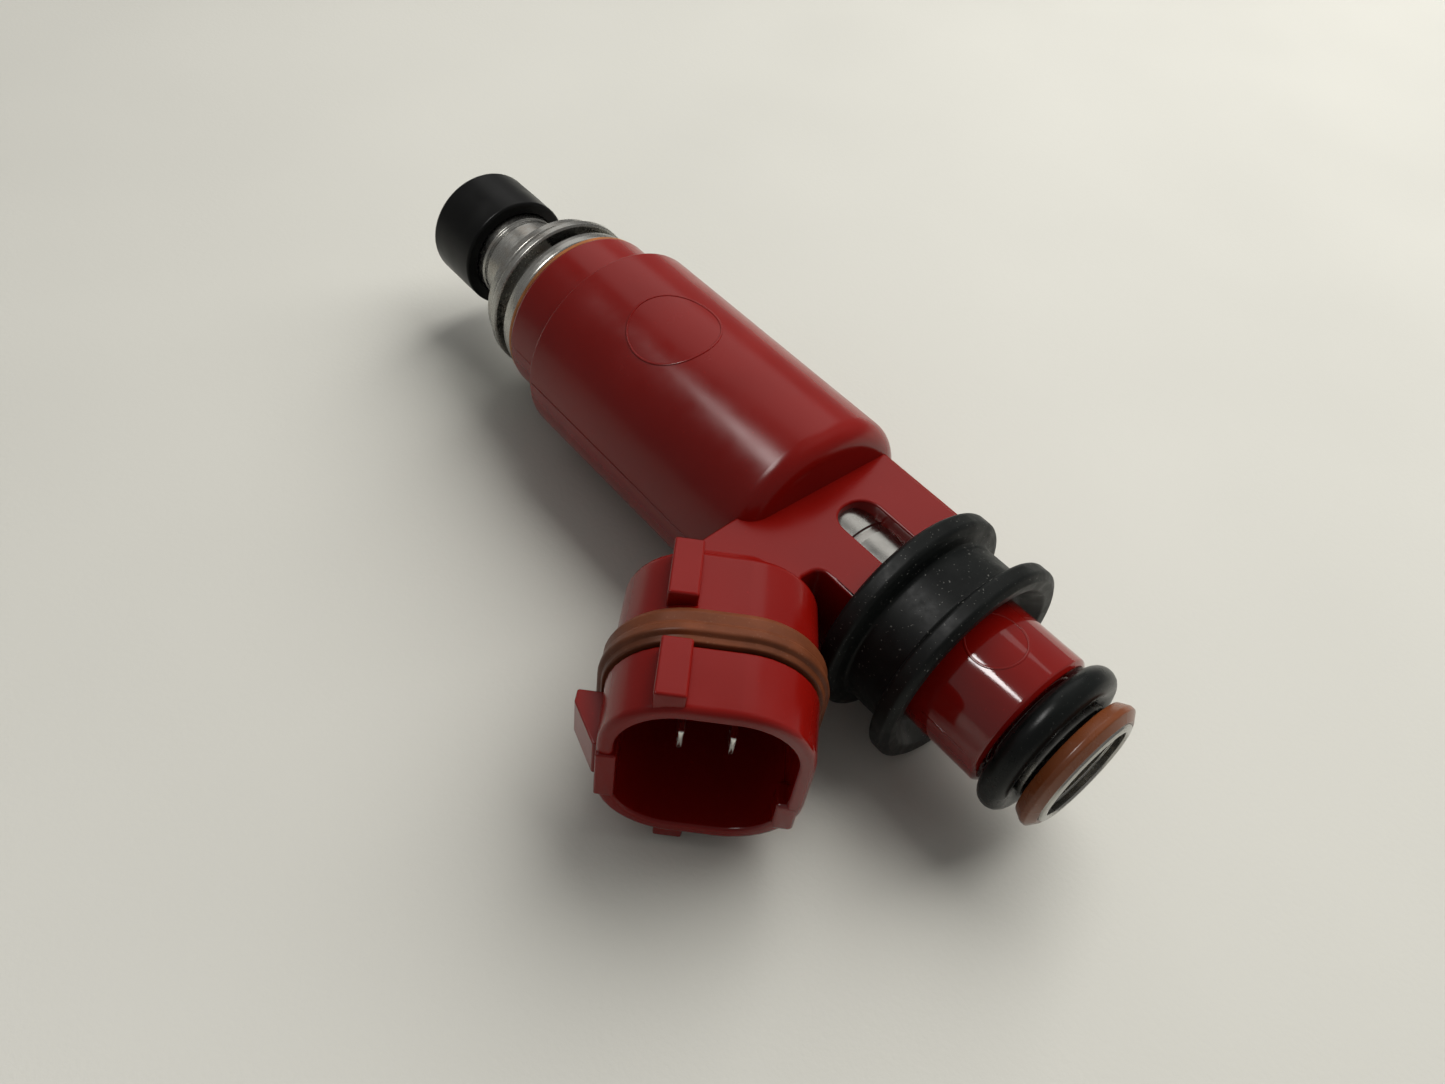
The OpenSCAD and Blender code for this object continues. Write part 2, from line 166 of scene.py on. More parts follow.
def rounded(corners, closed=True, steps=6, lead=0.05):
    """Outline through corners (a, b, radius), each corner replaced by an arc of that radius.

    The arc touches both sides at radius * tan(turn / 2) from the corner. A point a little way
    along each straight side keeps its shading flat.
    """
    points = np.array([c[:2] for c in corners], float)
    count = len(points)
    runs = []
    for i, corner in enumerate(corners):
        here = points[i]
        if not closed and i in (0, count - 1):
            runs.append(here[None])
            continue
        into = here - points[i - 1]
        out = points[(i + 1) % count] - here
        into_len, out_len = np.linalg.norm(into), np.linalg.norm(out)
        into, out = into / into_len, out / out_len
        turn = math.acos(float(np.clip(into @ out, -1, 1)))
        if turn < 0.02:
            runs.append(here[None])
            continue
        reach = min(corner[2] * math.tan(turn / 2), 0.45 * into_len, 0.45 * out_len)
        radius = reach / math.tan(turn / 2)
        side = math.copysign(1, into[0] * out[1] - into[1] * out[0])
        normal = side * np.array([-into[1], into[0]])
        angle = np.linspace(0, turn, steps + 1)[:, None]
        centre = here - into * reach + normal * radius
        arc = centre - normal * radius * np.cos(angle) + into * radius * np.sin(angle)
        before = here - into * (reach + min(lead, 0.04 * into_len))
        after = here + out * (reach + min(lead, 0.04 * out_len))
        runs.append(np.vstack([before, arc, after]))
    return np.vstack(runs)


def turned(profile, count=180):
    """Surface of revolution: the point (x, r) goes round the X axis as (x, r cos t, r sin t)."""
    t = np.linspace(0, 2 * math.pi, count, endpoint=False)
    x, r = np.asarray(profile, float).T
    return np.stack([x[:, None] + 0 * t, r[:, None] * np.cos(t), r[:, None] * np.sin(t)], -1)


def rect_loop(half_w, half_h, corner, inset, arc=10, side=3):
    """Loops round a rectangle with round corners, one row for each inset.

    A corner is corner_centre + radius * (cos, sin); the sides are straight lines between them.
    """
    inset = np.asarray(inset, float)[:, None]
    radius = np.maximum(corner - inset, 0.15)
    parts = []
    signs = [(1, 1), (-1, 1), (-1, -1), (1, -1)]
    quarter = np.linspace(0, math.pi / 2, arc + 1)[None]
    for k, (sx, sy) in enumerate(signs):
        a = quarter + k * math.pi / 2
        cx = sx * np.maximum(half_w - inset - radius, 0)
        cy = sy * np.maximum(half_h - inset - radius, 0)
        parts.append(np.stack([cx + radius * np.cos(a), cy + radius * np.sin(a)], -1))
    rows = []
    for k in range(4):
        rows.append(parts[k])
        a, b = parts[k][:, -1:], parts[(k + 1) % 4][:, :1]
        step = np.array([0.02, 0.35, 0.65, 0.98][:side + 1])[None, :, None]
        rows.append(a + (b - a) * step)
    return np.concatenate(rows, 1)


def swept(profile, half_w, half_h, corner, place=None):
    """Closed body whose section is a round-cornered rectangle.

    The profile gives (distance along, inset of the section). Both ends close on their middle.
    """
    profile = np.asarray(profile, float)
    loops = rect_loop(half_w, half_h, corner, profile[:, 1])
    along = np.broadcast_to(profile[:, :1], loops.shape[:2])
    grid = np.concatenate([along[..., None], loops], -1)
    ends = [np.repeat([[[profile[i, 0], 0, 0]]], loops.shape[1], 1) for i in (0, -1)]
    grid = np.concatenate([ends[0], grid, ends[1]], 0)
    return place(grid) if place else grid


def loop_normals(loop):
    """Outward unit normals of a closed anticlockwise loop of (x, y) points."""
    tangent = np.roll(loop, -1, 0) - np.roll(loop, 1, 0)
    tangent /= np.linalg.norm(tangent, axis=1)[:, None] + 1e-12
    return np.stack([tangent[:, 1], -tangent[:, 0]], -1)


def wall(loop, low, high, edge, outward=1, steps=5):
    """Upright wall along a loop with round edges: rows of (x, y, z), from low to high.

    At height z the loop is moved along its normal by the depth of the edge's quarter circle.
    """
    a = np.linspace(0, math.pi / 2, steps + 1)
    depth = edge * (1 - np.sin(a))
    rise = edge * (1 - np.cos(a))
    depths = np.concatenate([depth, [0, 0], depth[::-1]])
    heights = np.concatenate([low + rise, [low + edge + 0.05, high - edge - 0.05],
                              (high - rise)[::-1]])
    normal = loop_normals(loop)
    xy = loop[None] - outward * depths[:, None, None] * normal[None]
    z = np.broadcast_to(heights[:, None, None], xy.shape[:2] + (1,))
    return np.concatenate([xy, z], -1)


def grid_faces(rows, columns, wrap_rows, start):
    """Quads of a grid whose columns wrap round; rows wrap if asked."""
    i = np.arange(rows if wrap_rows else rows - 1)[:, None]
    j = np.arange(columns)[None]
    down = (i + 1) % rows
    right = (j + 1) % columns
    return (start + np.stack([i * columns + j, i * columns + right,
                              down * columns + right, down * columns + j], -1)).reshape(-1, 4)


def make(name, shells, slot, stands_for=(), body=HOUSING, caps=()):
    """Joins closed shells, given as (grid, rows wrap or not), into one object riding on a body.

    caps are two equal heights, below and above, at which the open rims are filled flat. Holes
    stay open, and the upper flat keeps its own shading.
    """
    points, faces, start = [], [], 0
    for grid, wrap_rows in shells:
        rows, columns = grid.shape[:2]
        points.append(grid.reshape(-1, 3))
        faces.append(grid_faces(rows, columns, wrap_rows, start))
        start += rows * columns
    mesh = bpy.data.meshes.new(name)
    mesh.from_pydata((np.vstack(points) * MM).tolist(), [], np.vstack(faces).tolist())
    work = bmesh.new()
    work.from_mesh(mesh)
    for height in caps:
        rim = [e for e in work.edges
               if e.is_boundary and all(abs(v.co.z / MM - height) < 0.001 for v in e.verts)]
        bmesh.ops.triangle_fill(work, edges=rim, use_beauty=True)
    bmesh.ops.remove_doubles(work, verts=work.verts, dist=2e-7)
    bmesh.ops.dissolve_degenerate(work, edges=work.edges, dist=1e-8)
    bmesh.ops.recalc_face_normals(work, faces=work.faces)
    for face in work.faces:
        heights = [abs(v.co.z / MM) for v in face.verts]
        face.smooth = not (caps and all(abs(z - caps[1]) < 0.001 for z in heights))
    work.to_mesh(mesh)
    work.free()
    piece = bpy.data.objects.new(name, mesh)
    bpy.context.scene.collection.objects.link(piece)
    mesh.materials.append(finish(slot))
    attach(piece, body)
    if stands_for:
        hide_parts(*stands_for)
    return piece


def socket_place(grid):
    """Turns points of the socket's own frame (out, across, up) into the injector's frame."""
    s = bpy.context.scene.injector_socket
    cos, sin = math.cos(s.angle), math.sin(s.angle)
    out, across, up = grid[..., 0], grid[..., 1], grid[..., 2]
    return np.stack([s.cross / MM + out * cos + across * sin, -out * sin + across * cos, up], -1)


def brick(low, high, edge, place=None):
    """Box from low to high with round edges, swept along its first direction."""
    low, high = np.array(low, float), np.array(high, float)
    middle, half = (low + high) / 2, (high - low) / 2
    a = np.linspace(0, math.pi / 2, 5)
    rise, depth = edge * (1 - np.cos(a)), edge * (1 - np.sin(a))
    profile = np.concatenate([
        np.stack([low[0] + rise, depth], -1), [[low[0] + edge + 0.05, 0]],
        [[high[0] - edge - 0.05, 0]], np.stack([high[0] - rise, depth], -1)[::-1]])
    grid = swept(profile, half[1], half[2], edge + 0.02)
    grid = grid + [0, middle[1], middle[2]]
    return place(grid) if place else grid


# ---------------------------------------------------------------- finishes

def add(tree, kind, inputs=None, **settings):
    """Adds a shader node, with its settings and the values of its inputs."""
    made = tree.nodes.new("ShaderNode" + kind)
    for key, value in settings.items():
        setattr(made, key, value)
    for key, value in (inputs or {}).items():
        made.inputs[key].default_value = value
    return made


def noise(tree, size, detail=3.0, roughness=0.55, stretch=(1, 1, 1)):
    """Noise on the piece's own coordinates, whose features are about size mm across."""
    place = add(tree, "TexCoord")
    turn = add(tree, "Mapping", {"Scale": stretch})
    made = add(tree, "TexNoise", {"Scale": 1 / (size * MM), "Detail": detail,
                                  "Roughness": roughness})
    tree.links.new(place.outputs["Object"], turn.inputs["Vector"])
    tree.links.new(turn.outputs["Vector"], made.inputs["Vector"])
    return made.outputs["Fac"]


def ranged(tree, value, low, high, to_low, to_high):
    """Maps value from low..high to to_low..to_high, clamped."""
    made = add(tree, "MapRange", {"From Min": low, "From Max": high, "To Min": to_low,
                                  "To Max": to_high})
    tree.links.new(value, made.inputs["Value"])
    return made.outputs["Result"]


def mixed(tree, factor, first, second):
    """Mix of two colours, or of a colour socket and a colour, by a factor socket."""
    made = add(tree, "Mix", data_type="RGBA")
    tree.links.new(factor, made.inputs[0])
    for index, colour in ((6, first), (7, second)):
        if isinstance(colour, bpy.types.NodeSocket):
            tree.links.new(colour, made.inputs[index])
        else:
            made.inputs[index].default_value = (*colour, 1)
    return made.outputs[2]


def bumped(tree, height, depth, under=None):
    """Normal from a height socket; depth is the height of a full step in mm."""
    made = add(tree, "Bump", {"Strength": 1.0, "Distance": depth * MM})
    tree.links.new(height, made.inputs["Height"])
    if under is not None:
        tree.links.new(under, made.inputs["Normal"])
    return made.outputs["Normal"]


def start_finish(name, **values):
    """A new material with its node tree and its Principled shader."""
    made = bpy.data.materials.new(name)
    made.use_nodes = True
    shader = made.node_tree.nodes["Principled BSDF"]
    for key, value in values.items():
        shader.inputs[key.replace("_", " ")].default_value = value
    return made, made.node_tree, shader


def scaled(colour, k):
    """A colour made lighter or darker."""
    return tuple(min(1.0, c * k) for c in colour)


def moulded(name, colour, roughness, grain=0.9, shine=0.32, gloss_from=None):
    """Injection-moulded plastic: slight colour drift, flow mottling and fine texture.

    Where x is past gloss_from (mm) the mould was polished: less rough, more shine.
    """
    made, tree, shader = start_finish(name, Specular_IOR_Level=shine)
    drift = noise(tree, 12.0, detail=2.0)
    base = mixed(tree, ranged(tree, drift, 0.3, 0.7, 0, 1), scaled(colour, 0.92),
                 scaled(colour, 1.08))
    fleck = ranged(tree, noise(tree, 0.35, detail=1.0), 0.74, 0.80, 0, 0.18)
    tree.links.new(mixed(tree, fleck, base, scaled(colour, 2.6)), shader.inputs["Base Color"])
    rough = ranged(tree, noise(tree, 3.0, detail=3.0), 0.3, 0.75, roughness * 0.82,
                   roughness * 1.25)
    if gloss_from is not None:
        place = add(tree, "TexCoord")
        parts = add(tree, "SeparateXYZ")
        tree.links.new(place.outputs["Object"], parts.inputs["Vector"])
        polish = ranged(tree, parts.outputs["X"], gloss_from * MM, (gloss_from + 2) * MM, 1, 0.35)
        scale = add(tree, "Math", operation="MULTIPLY")
        tree.links.new(rough, scale.inputs[0])
        tree.links.new(polish, scale.inputs[1])
        rough = scale.outputs[0]
        tree.links.new(ranged(tree, parts.outputs["X"], gloss_from * MM, (gloss_from + 2) * MM,
                              shine, 0.6), shader.inputs["Specular IOR Level"])
    tree.links.new(rough, shader.inputs["Roughness"])
    swell = bumped(tree, noise(tree, 5.0, detail=1.0), 0.012)
    tree.links.new(bumped(tree, noise(tree, 0.16, detail=2.0), 0.0010 * grain, swell),
                   shader.inputs["Normal"])
    return made


def machined(name, colour, roughness, ring=0.16, depth=0.0016, stain=0.35):
    """Turned metal: fine tool rings round the axis, brownish stains and uneven polish.

    ring is the rings' spacing and depth their height, both in mm; stain is the stains' strength.
    """
    made, tree, shader = start_finish(name, Metallic=1.0)
    brown = (0.19, 0.13, 0.085)
    stains = ranged(tree, noise(tree, 1.1, detail=6.0), 0.45, 0.72, 0, stain)
    tree.links.new(mixed(tree, stains, colour, brown), shader.inputs["Base Color"])
    tree.links.new(ranged(tree, noise(tree, 0.5, detail=3.0, stretch=(3, 1, 1)), 0.3, 0.7,
                          roughness * 0.85, roughness * 1.2), shader.inputs["Roughness"])
    rings = noise(tree, ring, detail=2.0, stretch=(1, 0.015, 0.015))
    tree.links.new(bumped(tree, rings, depth), shader.inputs["Normal"])
    return made


def drawn(name, colour, roughness, line=0.12):
    """Drawn metal: fine scratches along the axis and soft wear; line is their spacing in mm."""
    made, tree, shader = start_finish(name, Metallic=1.0)
    wear = ranged(tree, noise(tree, 1.5, detail=4.0), 0.35, 0.75, 0, 0.5)
    tree.links.new(mixed(tree, wear, colour, scaled(colour, 0.80)), shader.inputs["Base Color"])
    tree.links.new(ranged(tree, noise(tree, 0.8, detail=3.0), 0.3, 0.7, roughness * 0.85,
                          roughness * 1.2), shader.inputs["Roughness"])
    scratches = noise(tree, line, detail=2.0, stretch=(0.04, 1, 1))
    tree.links.new(bumped(tree, scratches, 0.0006), shader.inputs["Normal"])
    return made


def rubbery(name, colour, roughness, dust=0.0, dust_colour=(0.40, 0.40, 0.37)):
    """Rubber: matt mottling, a fine grain and, where dust isn't 0, a thin film and specks."""
    made, tree, shader = start_finish(name, Specular_IOR_Level=0.16)
    drift = ranged(tree, noise(tree, 3.5, detail=4.0), 0.3, 0.75, 0, 1)
    base = mixed(tree, drift, scaled(colour, 0.8), scaled(colour, 1.5))
    if dust:
        film = ranged(tree, noise(tree, 5.0, detail=5.0), 0.5, 0.8, 0, 0.05 * dust)
        base = mixed(tree, film, base, dust_colour)
        specks = ranged(tree, noise(tree, 0.22, detail=1.0), 0.71, 0.74, 0, 1.2 * dust)
        base = mixed(tree, specks, base, dust_colour)
    tree.links.new(base, shader.inputs["Base Color"])
    tree.links.new(ranged(tree, noise(tree, 1.2, detail=4.0), 0.3, 0.7, roughness * 0.8,
                          roughness * 1.2), shader.inputs["Roughness"])
    tree.links.new(bumped(tree, noise(tree, 0.10, detail=2.0), 0.004), shader.inputs["Normal"])
    return made


def copper_turns(name):
    """Enamelled copper: one ring of wire every 0.3 mm along the axis, each ring with a painted
    highlight on its crest and painted shade in the groove.
    """
    made, tree, shader = start_finish(name, Metallic=1.0)
    wire = 0.3
    place = add(tree, "TexCoord")
    turns = add(tree, "TexWave", {"Scale": 1 / (wire * MM) / (2 * math.pi) * 2},
                bands_direction="X")
    tree.links.new(place.outputs["Object"], turns.inputs["Vector"])
    # Painted light: the wave that raises each turn also colours it, lighter on the crest as a
    # painted highlight and darker in the groove between turns as painted shade.
    tree.links.new(mixed(tree, turns.outputs["Fac"], (0.30, 0.09, 0.03), (0.75, 0.33, 0.14)),
                   shader.inputs["Base Color"])
    tree.links.new(ranged(tree, noise(tree, 1.0), 0.3, 0.7, 0.22, 0.4), shader.inputs["Roughness"])
    tree.links.new(bumped(tree, turns.outputs["Fac"], 0.06), shader.inputs["Normal"])
    return made


def woven_wire(name):
    """Filter cloth: two crossing sets of fine wires, with painted shade in the gaps between them.
    """
    made, tree, shader = start_finish(name, Metallic=1.0, Roughness=0.4)
    pitch = 0.25
    place = add(tree, "TexCoord")
    ways = []
    for axis in ("X", "Z"):
        wave = add(tree, "TexWave", {"Scale": 1 / (pitch * MM) / math.pi}, bands_direction=axis)
        tree.links.new(place.outputs["Object"], wave.inputs["Vector"])
        ways.append(wave.outputs["Fac"])
    both = add(tree, "Math", operation="MAXIMUM")
    tree.links.new(ways[0], both.inputs[0])
    tree.links.new(ways[1], both.inputs[1])
    # Painted shade: the gaps between the wires are coloured near black; the wires keep their own
    # grey.
    tree.links.new(mixed(tree, ranged(tree, both.outputs[0], 0.35, 0.8, 0, 1), (0.02, 0.02, 0.02),
                         (0.5, 0.5, 0.47)), shader.inputs["Base Color"])
    tree.links.new(bumped(tree, both.outputs[0], 0.05), shader.inputs["Normal"])
    return made


def finish(slot):
    """The finish of one of the record's material slots, made once."""
    known = bpy.data.materials.get("injector_" + slot)
    if known:
        return known
    c = bpy.context.scene.injector_finish
    steel = tuple(c.steel)
    name = "injector_" + slot
    makers = {
        "housing_plastic": lambda: moulded(name, tuple(c.housing), 0.22, shine=0.24,
                                           gloss_from=71),
        "cap_plastic": lambda: moulded(name, tuple(c.cap), 0.34, grain=2.0, shine=0.12),
        "retainer_plastic": lambda: moulded(name, tuple(c.retainer), 0.26, shine=0.35),
        "bobbin_plastic": lambda: moulded(name, (0.42, 0.36, 0.24), 0.4),
        "cushion_rubber": lambda: rubbery(name, tuple(c.rubber), 0.46, dust=0.22),
        "ring_rubber": lambda: rubbery(name, tuple(c.rubber), 0.30, dust=0.06),
        "brown_silicone": lambda: rubbery(name, tuple(c.silicone), 0.42, dust=0.15,
                                          dust_colour=(0.30, 0.16, 0.10)),
        "brown_sealant": lambda: rubbery(name, (0.30, 0.105, 0.03), 0.38),
        "turned_steel": lambda: machined(name, steel, 0.27, stain=0.35),
        "plated_steel": lambda: machined(name, scaled(steel, 1.1), 0.27, stain=0.15),
        "dark_steel": lambda: machined(name, scaled(steel, 0.85), 0.35),
        "magnet_steel": lambda: machined(name, scaled(steel, 0.85), 0.35),
        "stainless": lambda: machined(name, scaled(steel, 1.15), 0.22, stain=0.05),
        "filter_brass": lambda: machined(name, (0.60, 0.45, 0.22), 0.32, stain=0.2),
        "spring_steel": lambda: drawn(name, scaled(steel, 0.95), 0.28),
        "tube_steel": lambda: drawn(name, (0.42, 0.41, 0.385), 0.24),
        "tinned_metal": lambda: drawn(name, (0.74, 0.73, 0.69), 0.24),
        "copper_wire": lambda: copper_turns(name),
        "filter_wire": lambda: woven_wire(name),
    }
    return makers[slot]()


# ---------------------------------------------------------------- pieces

class INJECTOR_OT_cad_finishes(bpy.types.Operator):
    """Gives every CAD node the finish of its own material slot"""

    bl_idname = "injector.cad_finishes"
    bl_label = "CAD finishes"

    def execute(self, context):
        slots = {s["node"]: s["material_slot"] for s in frame["record"]["subparts"]}
        for name, piece in frame["nodes"].items():
            piece.data.materials.clear()
            piece.data.materials.append(finish(slots[name]))
        return {"FINISHED"}


class INJECTOR_OT_nozzle_cap(bpy.types.Operator):
    """Black plastic cap over the nozzle, open in front of the spray plate"""

    bl_idname = "injector.nozzle_cap"
    bl_label = "Nozzle cap"

    def execute(self, context):
        x0, x1, r = span("nozzle_cap")
        neck_bore = 4.85
        mouth = 3.3
        straight = 4.4
        plate = span("orifice_plate")[0]
        profile = rounded([
            (x0, mouth + 0.3, 0.3), (x0, r, 0.45), (x0 + straight, r, 3), (x1, r - 0.03, 0.3),
            (x1, neck_bore, 0.12), (plate, neck_bore, 0.1), (plate, mouth, 0.1),
            (x0 + 0.5, mouth, 0.2)])
        make("nozzle_cap_shell", [(turned(profile), True)], "cap_plastic", ["nozzle_cap"])
        return {"FINISHED"}


class INJECTOR_OT_nozzle_body(bpy.types.Operator):
    """Turned steel nozzle body: neck with tool grooves, shoulder and two-step flange"""

    bl_idname = "injector.nozzle_body"
    bl_label = "Nozzle body"

    def execute(self, context):
        x0, x1, r = span("valve_body")
        neck = 4.8
        flange = 13.4
        bore, recess_bore, plate_bore = 1.9, 3.0, 3.4
        plate_end, guide, recess = 2.4, 5.4, 14.6
        profile = rounded([
            (x0, plate_bore, 0.05), (x0, neck, 0.1), (7.9, neck, 0.1), (8.1, neck - 0.12, 0.1),
            (8.5, neck - 0.12, 0.1), (8.7, neck - 0.03, 0.1), (11.0, neck - 0.05, 0.1),
            (11.15, neck + 0.12, 0.06), (11.7, neck + 0.15, 0.1), (11.9, neck + 0.02, 0.1),
            (12.7, neck + 0.15, 0.5), (13.25, neck + 0.8, 0.4), (flange, neck + 1.7, 0.3),
            (flange, 7.45, 0.25), (13.75, 7.78, 0.15),
            (14.5, 7.85, 0.15), (14.75, 7.7, 0.1), (14.95, 7.7, 0.1),
            (15.15, r - 0.15, 0.12), (15.4, r, 0.12), (x1 - 0.12, r, 0.12), (x1, r - 0.2, 0.1),
            (x1, recess_bore, 0.05), (recess, recess_bore, 0.05), (recess, bore, 0.05),
            (guide, bore, 0.05), (guide, recess_bore, 0.05), (plate_end, recess_bore, 0.05),
            (plate_end, plate_bore, 0.05)], steps=4, lead=0.03)
        make("nozzle_body", [(turned(profile), True)], "turned_steel", ["valve_body"])
        return {"FINISHED"}


class INJECTOR_OT_yoke(bpy.types.Operator):
    """Plated steel can round the coil; its rounded front ring shows"""

    bl_idname = "injector.yoke"
    bl_label = "Yoke can"

    def execute(self, context):
        x0, x1, r = span("yoke_can")
        shell = 7.9
        inside = shell - 0.8
        seal = span("collar_seal")[0]
        armature, sleeve, coil = 20, 23.55, 25
        stem_bore, armature_bore, sleeve_bore = 3.2, 4.3, 4.8
        profile = rounded([
            (x0, stem_bore, 0.1), (x0, r - 0.7, 0.3), (x0 + 0.35, r - 0.1, 0.5), (x0 + 1.0, r, 0.6),
            (seal - 0.5, r, 0.4), (seal, r - 0.35, 0.2), (seal, shell, 0.05), (x1, shell, 0.1),
            (x1, inside, 0.1), (coil, inside, 0.3), (coil, sleeve_bore, 0.1),
            (sleeve, sleeve_bore, 0.1), (sleeve, armature_bore, 0.1),
            (armature, armature_bore, 0.1), (armature, stem_bore, 0.1)])
        make("yoke_shell", [(turned(profile), True)], "plated_steel", ["yoke_can"])
        return {"FINISHED"}


class INJECTOR_OT_collar_seal(bpy.types.Operator):
    """Thin brown seal between the yoke and the moulded collar"""

    bl_idname = "injector.collar_seal"
    bl_label = "Collar seal"

    def execute(self, context):
        x0, x1, r = span("collar_seal")
        bore = 7.95
        profile = rounded([(x0, bore, 0.03), (x0, r, 0.12), (x1, r + 0.04, 0.12), (x1, bore, 0.03)],
                          lead=0.02)
        make("collar_seal_bead", [(turned(profile), True)], "brown_sealant", ["collar_seal"])
        return {"FINISHED"}


class INJECTOR_OT_barrel(bpy.types.Operator):
    """Moulded barrel with its narrow collar, soft shoulders, and the inlet neck"""

    bl_idname = "injector.barrel"
    bl_label = "Barrel and inlet neck"

    def execute(self, context):
        s = context.scene.injector_body
        r, collar, inlet = s.barrel_radius / MM, s.collar_radius / MM, s.inlet_radius / MM
        start, end = s.barrel_start / MM, s.barrel_end / MM
        first = span("overmould_housing")[0]
        bore, tube = 7.95, 4.45
        can_end = span("yoke_can")[1]
        profile = rounded([
            (first, bore, 0.05), (first, collar - 0.12, 0.12), (first + 0.3, collar, 0.25),
            (start - 0.35, collar, 0.35), (start, collar + 0.35, 0.2), (start, r - 0.02, 0.28),
            (end, r - 0.03, 1.9), (end, tube, 0.05), (can_end, tube, 0.05), (can_end, bore, 0.05)],
            steps=10)
        inlet_start, inlet_end = 64.8, 80.2
        neck = rounded([
            (inlet_start, tube, 0.05), (inlet_start, inlet, 0.05), (inlet_end - 0.35, inlet, 0.3),
            (inlet_end, inlet - 0.35, 0.2), (inlet_end, tube, 0.05)])
        make("moulded_barrel", [(turned(profile, 256), True), (turned(neck), True)],
             "housing_plastic", ["overmould_housing"])
        return {"FINISHED"}


class INJECTOR_OT_bridge(bpy.types.Operator):
    """Flat bridge with the window slot, its round cheek, and the neck of the plug socket"""

    bl_idname = "injector.bridge"
    bl_label = "Bridge and neck"

    def execute(self, context):
        s = context.scene.injector_body
        half, cheek = s.bridge_half / MM, s.collar_radius / MM
        side = math.sqrt(cheek ** 2 - half ** 2)
        cut_side = 6.7
        first, last = 50, span("rail_cushion")[0]
        outline = rounded([
            (first, side, 0.3), (first, -7.4, 0.3), (53.7, -8.4, 0.3), (54.0, -12.4, 0.8),
            (54.6, -15.6, 1.0), (56.2, -17.8, 0.5), (63.3, -10.3, 0.5), (61.5, -8.7, 0.6),
            (61.6, -cut_side, 1.5), (last, -cut_side, 0.1), (last, side, 0.1)], steps=8)
        width = s.slot_width / MM
        slot_x, slot_end = 57.8, last - 1.0
        slot = rounded([
            (slot_x, width / 2, width / 2), (slot_x, -width / 2, width / 2),
            (slot_end, -width / 2, 0.1), (slot_end, width / 2, 0.1)], steps=10)
        outer = wall(outline, -half, half, 0.28)
        inner = wall(slot, -half, half, 0.22, outward=-1)
        make("bridge_plate", [(outer, False), (inner, False)], "housing_plastic",
             ["overmould_housing"], caps=(-half, half))
        make("bridge_cheek", [(self.cheek(cheek, half - 0.12, last), False)],
             "housing_plastic", ["overmould_housing"])
        return {"FINISHED"}

    def cheek(self, radius, half, last):
        """Round side of the bridge: (y, z) = radius * (cos a, sin a) between the flats.

        Its section shrinks towards a middle line at the ends, by each station's second value.
        """
        limit = math.asin(half / radius)
        a = np.linspace(-limit, limit, 40)
        arc = np.stack([radius * np.cos(a), radius * np.sin(a)], -1)
        back = np.stack([np.full(9, 3.0), np.linspace(half, -half, 9)], -1)
        section = np.vstack([arc, back])
        middle = np.array([radius * 0.6, 0])
        first = 51
        stations = np.array([
            [first, 0.0], [first, 1.0], [last - 0.3, 1.0], [last, 0.95], [last, 0.0]])
        rows = middle + (section - middle)[None] * stations[:, 1][:, None, None]
        x = np.broadcast_to(stations[:, 0][:, None, None], rows.shape[:2] + (1,))
        return np.concatenate([x, rows], -1)


class INJECTOR_OT_socket(bpy.types.Operator):
    """Plug socket: domed bell, seal groove, straight shell, rounded lip and inner cavity"""

    bl_idname = "injector.socket"
    bl_label = "Plug socket"

    def execute(self, context):
        s = context.scene.injector_socket
        length, wall_t = s.length / MM, s.wall / MM
        root, bell, groove, groove_end, floor = 15.7, 19.9, 25.9, 29.2, 21.6
        shell = rounded([
            (root, 5.6, 0.1), (root, 4.4, 0.5), (bell - 0.5, 1.75, 0.7), (bell + 0.1, 0.28, 0.9),
            (groove, 0.10, 0.18), (groove, 0.95, 0.1), (groove_end, 0.95, 0.1),
            (groove_end, -0.05, 0.15), (length, 0.08, 0.55), (length, wall_t - 0.05, 0.35),
            (floor, wall_t + 0.15, 0.8), (floor, 5.0, 0.1)], closed=False, steps=7)
        body = swept(shell, s.half_width / MM, s.half_height / MM, s.corner / MM, socket_place)
        make("socket_shell", [(body, False)], "housing_plastic", ["overmould_housing"])
        return {"FINISHED"}


class INJECTOR_OT_socket_keys(bpy.types.Operator):
    """Key ribs above and below the socket, the latch ramp and the corner stop"""

    bl_idname = "injector.socket_keys"
    bl_label = "Socket keys and latch"

    def execute(self, context):
        s = context.scene.injector_socket
        top, width, length = s.half_height / MM, s.half_width / MM, s.length / MM
        above, below, half, rib, edge = -3.1, -1.9, 1.15, 1.1, 0.2
        bell_rib, bell_rib_end, shell_rib, shell_rib_end = 20.1, 25.5, 29.3, length - 0.25
        stop, pad = 32.2, 33.2
        shells = [
            brick((bell_rib, above - half, top - 1.6), (bell_rib_end, above + half, top + rib),
                  edge, socket_place),
            brick((shell_rib, above - half, top - 0.9), (shell_rib_end, above + half, top + rib),
                  edge, socket_place),
            brick((shell_rib, below - half, -top - rib), (shell_rib_end, below + half, 0.9 - top),
                  edge, socket_place),
            brick((stop, 5.7, -5.95), (length + 0.05, 7.5, -2.5), 0.4, socket_place),
            brick((pad, 0.08 - width, -3.7), (length + 0.2, -6.3, 1.8), 0.18, socket_place),
        ]
        make("socket_key_ribs", [(g, False) for g in shells], "housing_plastic",
             ["overmould_housing"])
        ramp, ramp_end, foot, ramp_half = 29.4, 33.9, -7.4, 2.0
        outline = rounded([(ramp, foot, 0.1), (ramp_end, foot, 0.1), (ramp_end, -8.1, 0.2),
                           (30.5, -9.95, 0.35), (ramp, -9.9, 0.2)][::-1], steps=4)
        grid = socket_place(wall(outline, -ramp_half, ramp_half, 0.15))
        make("socket_latch_ramp", [(grid, False)], "housing_plastic", ["overmould_housing"],
             caps=(-ramp_half, ramp_half))
        return {"FINISHED"}


